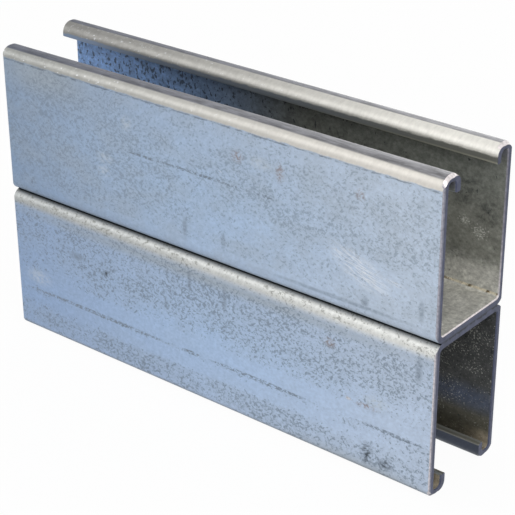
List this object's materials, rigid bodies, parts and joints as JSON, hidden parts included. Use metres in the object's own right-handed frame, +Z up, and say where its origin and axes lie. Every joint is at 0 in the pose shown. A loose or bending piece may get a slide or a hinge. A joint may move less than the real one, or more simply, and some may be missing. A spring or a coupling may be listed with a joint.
{
  "type": "double strut channel",
  "caption": "Short length of galvanised steel strut: deep lipped channels joined back to back, with an open slot along the top and the bottom for channel nuts.",
  "frame": {"origin": "on the floor, under the centre of the part, in the plane that the lower lips stand on", "axes": "+X along the stock, +Y across its flanges, +Z up, from the lower slot to the upper one"},
  "size_m": [0.2032, 0.0412, 0.1238],
  "materials": {
    "galvanised_steel": "zinc-coated steel strip, satin, mottled with fine dark flecks"
  },
  "bodies": {
    "root": {"upper_channel": "galvanised_steel", "lower_channel": "galvanised_steel"}
  },
  "joints": []
}
